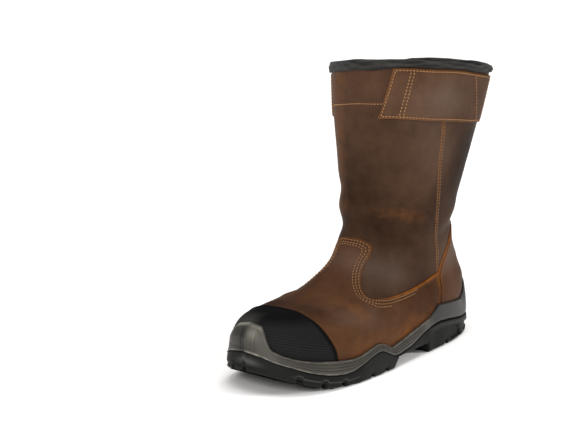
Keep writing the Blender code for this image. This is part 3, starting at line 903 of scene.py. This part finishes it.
def counter_marks(grid, out, field):
    """Two rubbed lines along the edge, faint low down, with painted shade in the crease between them.
    """
    away = edge_distance(grid, out, counter_edge, False)
    lines = bell(away, 0.3, 0.9) + bell(away, 4.4, 0.9)
    return {"wear": lines * (0.18 + 0.60 * ramp(grid[..., 2], 48, 66)),
            "crease_and_painted_shade": 0.9 * bell(away, 2.3, 0.8)}


def cap_marks(grid, out, field):
    """Studs everywhere but on the rim and the top of the toe; dust and a painted highlight on its
    inner front.
    """
    x, s, z = np.moveaxis(grid, -1, 0)
    return {"wear": ramp(field, RIM_WIDTH, RIM_WIDTH + 1.5) * ramp(z, 64, 58),
            "tone": ramp(s, 282, 300) * ramp(x, -3, -15)}


def tab_marks(grid, out, field):
    """Tan at the cut edges."""
    return {"wear": 0.6 * bell(field, 0, 1.3)}


def tab_sides(corners, bow):
    """Front, bottom, back and top of a pull tab; its top edge bows up with the collar."""
    part = np.linspace(0, 1, 13)[:, None]
    sides = [a + (b - a) * part for a, b in zip(corners, np.roll(corners, -1, 0))]
    sides[3][:, 1] += bow * np.sin(np.pi * part[:, 0])
    return sides


def sew_inside(piece, edge, inset, thick, back=-99, oil=0.0):
    """A row of stitches inside an edge of an overlay, as far back as a station."""
    grid, out, base, field = piece
    border = np.concatenate([sample(np.dstack([base, grid]), k) for k in contour(field, 0.0)])
    border = border[edge_gap(border[:, 4:], edge) < 1.0, :3]
    tree = kdtree.KDTree(len(border))
    for k, point in enumerate(border):
        tree.insert(point, k)
    tree.balance()
    near = (field > 0) & (field < 3 * inset)
    away = np.where(field > 0, 99.0, -99.0)
    away[near] = [tree.find(point)[2] for point in base[near]]
    for line in contour(away, inset):
        on = sample(np.dstack([base + out * (thick + 0.05), field]), line)
        good = (on[:, 3] > min(inset, 2.6) - 0.7) & (on[:, 1] > back)
        if not good.all() and np.linalg.norm(on[0, :3] - on[-1, :3]) < 3:
            # A closed line is turned to start where it isn't sewn.
            start = -int(np.argmin(good))
            line, on, good = (np.roll(k, start, 0) for k in (line, on, good))
        for run in np.split(np.arange(len(on)), np.nonzero(~good)[0]):
            run = run[good[run]]
            if len(run) > 6:
                sew(on[run, :3], sample(out, line)[run], oil)


panel_height = OVERLAY + GAP
vamp = overlay("vamp_panel", "vamp", (0.0, 0.66), (150, 260), vamp_outline, VAMP_LEATHER,
               rolled(panel_height, (2.6, 5.4)), vamp_marks)
for inset, back in VAMP_ROWS:
    sew_inside(vamp, throat, inset, panel_height, back, VAMP_OIL)
overlay("toe_cap_shell", "toe_cap", (0.0, 0.40), (90, 230), cap_outline, TOE_RUBBER,
        rolled(panel_height + CAP_MORE, (), RIM_HEIGHT), cap_marks)
overlay("counter_panel", "heel_counter", (0.0, 0.66), (120, 260), counter_outline, VAMP_LEATHER,
        rolled(panel_height, (2.3,)), counter_marks)
for name, node, side, edge, thick, bow in (
        ("pull_tab_outer", "pull_tab_lateral", 1, TAB_EDGE, TAB + GAP, TAB_BOW),
        ("pull_tab_inner", "pull_tab_medial", -1, INNER_TAB_EDGE, INNER_TAB + GAP, 0)):
    sides = tab_sides(np.array(edge, float), bow)
    tab = overlay(name, node, (0.80, 0.99), (60, 260), np.concatenate([k[:-1] for k in sides]),
                  TAB_LEATHER, rolled(thick, (2.8,)), tab_marks, side)
    for tab_side, inset in zip(sides, TAB_INSETS):
        sew_inside(tab, tab_side, inset, thick)
    grid, out, base, field = tab
    shift = edge[0][0] - TAB_EDGE[0][0]
    for (s0, z0), (s1, z1) in TAB_SEAMS:
        seam_s = s0 + (grid[..., 2] - z0) * (s1 - s0) / (z1 - z0) + shift
        cross = np.where(field > -3, grid[..., 1] - seam_s, 60.0)
        for line in contour(cross, 0.0):
            on = sample(np.dstack([base + out * thick, field, cross]), line)
            good = (on[:, 3] > 1.3) & (np.abs(on[:, 4]) < 2)
            if good.sum() > 8:
                sew(on[good, :3], sample(out, line)[good])

points, faces, oil = stitch_mesh()
finish_piece("stitching", points, faces, THREAD, (), {"tone": oil})

# Collar binding: a padded band folded over the rim, crumpled where it isn't sewn down.
_, rim_out, rim_base = skin(0.97, 1.0, 4, 261)
rim, rim_side = rim_base[-1], rim_out[-1]
rise = unit(rim_base[-1] - rim_base[-2])
profile = smooth(BINDING_SECTION, 4)
down = travel(profile)
depth = down[:, None]
wave = np.linspace(0, 2 * np.pi, len(rim), endpoint=False)[None, :]
crumple = (0.40 * np.sin(9 * wave + 0.6 + 0.5 * depth)
           + 0.45 * np.sin(1.15 * depth + 2.2 * np.sin(5 * wave) + 1.4 * np.sin(11 * wave + 1))
           + 0.22 * np.sin(23 * wave + 2.0 + np.sin(3 * wave) - 0.9 * depth)
           + 0.12 * np.sin(47 * wave + 1.0 + 2 * np.sin(5 * wave) + 0.7 * depth))
free = between(depth, 0, down[-1], 2.5)
hem = bell(depth, 2.6, 0.7)
swell = 0.60 * crumple * free - 0.45 * hem
narrow = 0.42 * np.clip((rim[:, 0] - 28) / 22, -0.4, 1)     # its fold is shorter on the outer side
band = []
for (a, b), more in zip(profile, swell):
    tall = b * (1 - narrow) if a > 0 and b < 0 else b
    band.append(rim + rim_side * (a + np.clip((a + 1.2) / 1.5, -1, 1) * more)[:, None]
                + rise * (tall + 0.5 * more)[:, None])
# Painted light and shade: paler on the crumples' ridges, darker in their hollows, in the hem's groove
# and toward its tucked ends.
shade = np.clip(0.17 + 0.22 * crumple * free - 0.35 * hem - 0.15 * (1 - free), 0, 1)
around = np.linalg.norm(np.roll(rim, -1, 0) - rim, axis=1).cumsum()
collar = sheet_piece("collar_band", np.array(band), True, BINDING_TEXTILE,
                     ("collar_binding",), {"tone": shade}, np.stack(np.meshgrid(around, down), -1))


# Sole.
def spring(s):
    """Lift of the sole at a station."""
    return TOE_SPRING * ramp(s, SPRING_START, SOLE_LENGTH) ** 2


def blur(data, width):
    """A wrapped row of values, averaged over neighbours."""
    kernel = np.exp(-np.linspace(-2, 2, 2 * width + 1) ** 2)
    kernel /= kernel.sum()
    return np.convolve(np.r_[data[-width:], data, data[:width]], kernel, "valid")


# The outline from above, its stations (signed: the inner side is negative) and its two heights.
fractions = np.linspace(0, 1, SOLE_POINTS)
line = section(SOLE_ROW, fractions)[:, :2]
step = np.roll(line, -1, 0) - np.roll(line, 1, 0)
inward = unit(np.stack([-step[:, 1], step[:, 0]], 1))
if ((line.mean(0) - line) * inward).sum() < 0:
    inward = -inward
signed = np.r_[fractions, -fractions[::-1][1:-1]]
station = np.abs(signed + TOE_TURN * ramp(np.abs(signed), 2 * TOE_END, 0))
stations, joints, tops = np.array(LINE_ROWS).T
lift = spring(line[:, 1])
joint = blur(np.interp(station, stations, joints), 5) + lift
top = blur(np.interp(station, stations, tops), 4) + lift
foot_grid = skin(0.0, 0.45, 70, 200)[0]


def inset_profile(point, way):
    """Heights of the upper beside an outline point, and how far inside it stands there."""
    across = np.array([-way[1], way[0]])
    flat = foot_grid[..., :2] - point
    a, b = flat @ way, flat @ across
    a2, b2 = np.roll(a, -1, 1), np.roll(b, -1, 1)
    z, z2 = foot_grid[..., 2], np.roll(foot_grid[..., 2], -1, 1)
    hit = (b * b2 <= 0) & (np.abs(b - b2) > 1e-9)
    with np.errstate(divide="ignore", invalid="ignore"):
        part = np.where(hit, b / (b - b2), 0)
    depth = np.where(hit, a + part * (a2 - a), 1e6)
    best = depth.argmin(1)
    at = np.arange(len(best))
    height = (z + part * (z2 - z))[at, best]
    depth = depth[at, best]
    good = depth < 1e5
    order = np.argsort(height[good])
    return height[good][order], depth[good][order]


profiles = [inset_profile(p, w) for p, w in zip(line, inward)]


def inset_at(height):
    """How far inside the outline the upper stands, at one height for each outline point."""
    return np.array([np.interp(h, *p) for h, p in zip(height, profiles)])


def sole_ring(inset, height):
    """The outline moved inward by an inset, at a height."""
    flat = line + inward * np.broadcast_to(inset, len(line))[:, None]
    return np.column_stack([flat, np.broadcast_to(height, len(line))])


def across_ring(ring, steps):
    """A sheet across a closed ring, from its outer half to its inner half."""
    half = len(ring) // 2 + 1
    outer = ring[:half]
    inner = np.concatenate([ring[:1], ring[half:][::-1], ring[half - 1:half]])
    return np.array([outer + (inner - outer) * part for part in np.linspace(0, 1, steps)])


# Midsole: a cup with ribs along its sides, a creased tab over the toe and a plain heel.
wall = (2 * GAP + OVERLAY + SOLE_LIP + TOE_LIP * ramp(station, 0.09, 0.045)
        - HEEL_THIN * ramp(station, 0.82, 0.85))
lip = blur(np.clip(inset_at(top) - wall, 0.2, None), 3)
ribbed = between(station, 0.07, 0.62, 0.03)
tab_fold = ramp(station, 0.0585, 0.0135)
lipped = ramp(station, 0.30, 0.25)
heeled = ramp(station, 0.63, 0.66)
finned = ramp(station, 0.845, 0.865)
# Uneven strength along the outline for the painted highlights of the lips.
patchy = np.clip(0.75 + 0.3 * np.sin(signed * 95) + 0.25 * np.sin(signed * 241 + 1), 0.2, 1.2)
streak = sum(deep * bell(signed, at, 0.0022) for at, deep in TOE_STREAKS)
lit = bell(signed, 0.018, 0.018)
# Inner front of the toe tab: a painted highlight along its top lip and painted shade over its face.
inner_lip_lit_face_shaded = ramp(signed, -0.006, -0.014) * ramp(signed, -0.1, -0.07)
rings, shades, painted_shades = [], [], []
for part in np.linspace(0, 1, 49):
    level = joint + GAP + (top - joint - GAP) * part
    inset = np.minimum(lip * part ** 2, np.maximum(inset_at(level) - wall, 0))
    groove = ribbed * sum(bell(part, middle, 0.045) for middle in RIB_GROOVES)
    ledge = bell(part, 0, 0.05)
    rim_round = ramp(part, 0.93, 1.0) ** 2
    crease_and_painted_shade = streak * tab_fold * np.sin(np.pi * np.clip(part, 0.05, 0.97)) ** 0.6
    rings.append(sole_ring(inset + RIB_DEPTH * groove + CUP_ROUND * rim_round
                           + STREAK_DEPTH * crease_and_painted_shade - FOOT_OUT * ledge * lipped
                           + FOOT_IN * ledge * heeled, level))
    # Painted highlights along the top lip and the forefoot's joint lip, over the toe tab, on the inner
    # front's top lip and along the heel's rim above its groove.
    shades.append(0.34 * patchy * bell(part, 0.95, 0.035) + 0.9 * ledge * lipped * patchy
                  + 0.75 * tab_fold * lit * bell(part, 0.72, 0.20)
                  + 0.55 * inner_lip_lit_face_shaded * bell(part, 0.97, 0.04)
                  + 0.30 * heeled * bell(part, 0.16, 0.05))
    # Painted shade in the rib grooves and toe creases, over the heel and in its lower groove, on the
    # back fin, and over the toe tab, most low down and on its inner face.
    painted_shades.append(0.22 * groove + 0.75 * crease_and_painted_shade + heeled * (0.78 + 0.7 * ledge)
                  + 0.45 * finned * ramp(part, 0.45, 0.65)
                  + tab_fold * (0.18 + 0.20 * bell(part, 0.12, 0.12))
                  + 0.32 * inner_lip_lit_face_shaded * ramp(part, 0.9, 0.8))
for further, lower in CUP_INSIDE:
    rings.append(sole_ring(lip + SOLE_LIP + further, top - lower))
    shades.append(shades[-1])
    painted_shades.append(painted_shades[-1])
# Here wear carries the painted highlights and crease the painted shade.
sheet_piece("midsole_cup", np.array(rings), True, MIDSOLE_FOAM, ("midsole",),
            {"wear": np.clip(shades, 0, 1), "crease_and_painted_shade": np.clip(painted_shades, 0, 1)})


def tread(x, s):
    """Height of the tread's underside: spring, arch, and channels between the lugs."""
    arch = ARCH_RISE * ramp(s, HEEL_FRONT, HEEL_FRONT + 2.5) * ramp(s, TREAD_BACK, TREAD_BACK - 7)
    depth = np.zeros(np.shape(s))
    for cx, cs, across, along, turn in CHANNEL_ROWS:
        c, d = np.cos(np.radians(turn)), np.sin(np.radians(turn))
        a = np.abs((x - cx) * c + (s - cs) * d)
        b = np.abs((s - cs) * c - (x - cx) * d)
        cut = ramp(a, across / 2 + 0.6, across / 2 - 0.6) * ramp(b, along / 2 + 0.6, along / 2 - 0.6)
        depth = np.maximum(depth, TREAD_DEPTH * cut)
    return spring(s) + np.maximum(depth, arch)


# Outsole: a side wall with a ledge along the forefoot and panels in the heel, then the tread.
foot_line = tread(line[:, 0], line[:, 1])
tall = joint - foot_line
toed = ramp(station, 0.13, 0.10)
fronted = bell(signed, 0.004, 0.03)
ledged = between(station, 0.12, 0.32, 0.02)
dusty = between(station, 0.32, 0.62, 0.03)
scuffed = ramp(station, 0.80, 0.86)
rings, shades = [], []
for part in np.linspace(0, 1, 41):
    up = tall * part
    bevel = TREAD_ROUND * ramp(up, 2.6, 0) ** 2
    under_lip = UNDER_LIP * ramp(tall - up, 1.8, 0) ** 2
    bulge = -WALL_BULGE * np.sin(np.pi * part)
    toe_crease = TOE_GROOVE * toed * bell(up, 0.36 * tall, 1.3)
    below = ramp(up, 0.46 * tall + 0.45, 0.46 * tall - 0.45)
    under_strip = ramp(tall - up, 6.05, 6.95)
    slant = station + 0.0016 * (up - 10)
    panel = between(slant, 0.735, 0.80, 0.006) + between(slant, 0.825, 0.93, 0.006)
    panel = panel * ramp(up, 4, 4.9) * under_strip
    rings.append(sole_ring(bevel + under_lip + bulge + toe_crease + LEDGE_DEPTH * below * ledged
                           + heeled * (STRIP_DEPTH * under_strip + PANEL_DEPTH * panel),
                           foot_line + up))
    # Dust along the waist and scuffs at the back; painted highlights on the forefoot ledge, on the
    # strip along the top of the heel and on the toe's bulge.
    shades.append(0.05 * dusty + 0.12 * scuffed + 0.5 * ledged * bell(up, 0.47 * tall, 0.7)
                  + 0.45 * heeled * bell(tall - up, 3.4, 1.8)
                  + 0.60 * fronted * bell(up, 0.60 * tall, 3.0))
rings.append(sole_ring(FLANGE, joint))
shades.append(np.zeros(len(line)))
stack = np.array(rings)
under = across_ring(stack[0], 61)
under[..., 2] = tread(under[..., 0], under[..., 1])
points = np.concatenate([stack.reshape(-1, 3), under.reshape(-1, 3)])
faces = sheet_faces(*stack.shape[:2], True)
faces += [tuple(stack[..., 0].size + v for v in f) for f in sheet_faces(*under.shape[:2], False)]
clean = np.zeros(under[..., 0].size)
# Painted shade darkens the heel block.
finish_piece("outsole_tread", points, faces, OUTSOLE_RUBBER, ("outsole",),
             {"wear": np.r_[np.array(shades).ravel(), clean],
              "crease_and_painted_shade": np.r_[np.tile(0.35 * heeled, len(stack)), clean]})

# Insole: a board with a textile face, seen down the shaft.
sole_grid, sole_out, _ = skin(0.0, 0.03, 4, 121)
board = across_ring((sole_grid - sole_out * (LEATHER + 2 * GAP))[-1], 31)
board[..., 2] -= INSOLE_DIP * np.sin(np.pi * np.linspace(0, 1, len(board)))[:, None]
sheet_piece("footbed", board, False, LINING_TEXTILE, ("insole",),
            uv=board[..., :2])

# Floor, light and camera. Matt paper shows soft shade and mirrors nothing.
bpy.context.scene.view_settings.view_transform = "Standard"
bpy.ops.mesh.primitive_plane_add(size=40.0, location=(0, 0, 0))
floor = bpy.context.object
floor.name = "floor"
paper, tree, shader = new_material("pale_paper_floor")
connect(tree, shader, {"Base Color": linear("#f4f2f0"), "Roughness": 0.9})
floor.data.materials.append(paper)
ground = bpy.data.collections.new("ground")
ground.objects.link(floor)

world = bpy.context.scene.world or bpy.data.worlds.new("studio")
bpy.context.scene.world = world
world.use_nodes = True
connect(world.node_tree, world.node_tree.nodes["Background"],
        {"Color": (1, 1, 1, 1), "Strength": 0.26})


def add_light(name, kind, power, way):
    """A light that shines along a direction."""
    data = bpy.data.lights.new(name, kind)
    data.energy = power
    item = bpy.data.objects.new(name, data)
    item.rotation_euler = Vector(way).to_track_quat("-Z", "Y").to_euler()
    bpy.context.scene.collection.objects.link(item)
    return item


def far_light(name, power, width, way, only=None):
    """A wide soft light from far away; only names a collection that it is kept to."""
    item = add_light(name, "SUN", power, way)
    item.data.angle = np.radians(width)
    item.light_linking.receiver_collection = only


def softbox(name, at, aim, size, power):
    """A square area light turned toward a point."""
    item = add_light(name, "AREA", power, Vector(aim) - Vector(at))
    item.data.size = size
    item.location = at


far_light("ceiling_light", 1.3, 60, (0.0, 0.0, -1))
far_light("floor_light", 1.1, 30, (-0.08, -0.17, -1), ground)
far_light("low_floor_light", 3.4, 14, (-0.81, -0.59, -0.27), ground)
softbox("front_light", (0.4, -2.5, 1.5), (0, 0, 0.1), 1.2, 33)
softbox("side_light", (1.9, -1.5, 1.2), (0, 0, 0.12), 1.0, 12)

CAMERA_YAW = 54.0        # degrees from the outer side toward the toe
CAMERA_AWAY = 1500.0     # millimetres over the floor from the aim station
CAMERA_AIM = 150.0       # station that the camera stands off from
CAMERA_HEIGHT = 458.2
CAMERA_TURN = -2.54      # degrees the view turns off the aim station
CAMERA_PITCH = 12.28     # degrees the view tips down
FOCUS_PIXELS = 1600.0
PHOTO_WIDTH = 584.0
SENSOR = 36.0
yaw = np.radians(CAMERA_YAW)
eye = (CAMERA_AWAY * np.cos(yaw), CAMERA_AIM + CAMERA_AWAY * np.sin(yaw), CAMERA_HEIGHT)
look = np.radians(CAMERA_YAW + CAMERA_TURN)
tilt = np.radians(CAMERA_PITCH)
ahead = Vector((-np.cos(look) * np.cos(tilt), np.sin(look) * np.cos(tilt), -np.sin(tilt)))
data = bpy.data.cameras.new("camera")
data.sensor_width = SENSOR
data.lens = FOCUS_PIXELS / PHOTO_WIDTH * SENSOR
camera = bpy.data.objects.new("camera", data)
camera.location = place(eye)
camera.rotation_euler = ahead.to_track_quat("-Z", "Y").to_euler()
bpy.context.scene.collection.objects.link(camera)
bpy.context.scene.camera = camera
